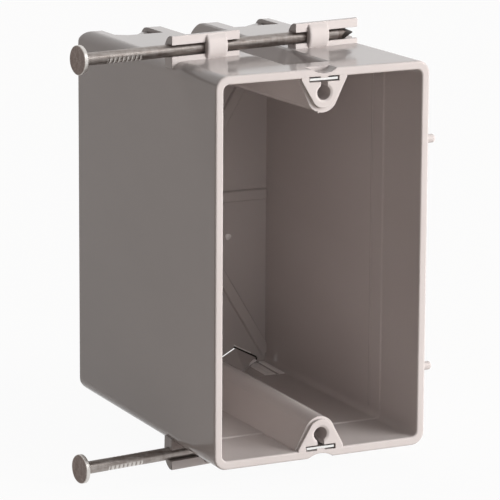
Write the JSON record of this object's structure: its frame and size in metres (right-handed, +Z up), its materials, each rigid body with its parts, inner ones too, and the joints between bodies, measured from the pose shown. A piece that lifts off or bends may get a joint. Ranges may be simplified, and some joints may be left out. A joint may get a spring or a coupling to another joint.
{
  "type": "outlet box",
  "caption": "Moulded plastic nail-on device box with captive nails, device-screw bosses and cable-entry flaps.",
  "frame": {"origin": "centre of the open front, midway between the two device-screw holes", "axes": "+X to the stud side, +Y into the wall cavity, +Z up; a device is screwed on from -Y"},
  "size_m": [0.0844, 0.081, 0.1068],
  "materials": {
    "moulding": "warm light grey moulded plastic, semi-gloss",
    "nail_steel": "bright drawn steel wire",
    "clip_steel": "bright sheet steel"
  },
  "bodies": {
    "box": {"box_body": "moulding", "screw_clip_upper": "clip_steel", "screw_clip_lower": "clip_steel"},
    "upper_nail": {"nail_upper": "nail_steel"},
    "lower_nail": {"nail_lower": "nail_steel"}
  },
  "joints": [
    {"name": "upper_nail_drive", "type": "slide", "parent": "box", "child": "upper_nail", "axis": [0.9922, 0.1245, 0], "range_m": [0, 0.0225]},
    {"name": "lower_nail_drive", "type": "slide", "parent": "box", "child": "lower_nail", "axis": [0.9922, 0.1245, 0], "range_m": [0, 0.0225]}
  ]
}
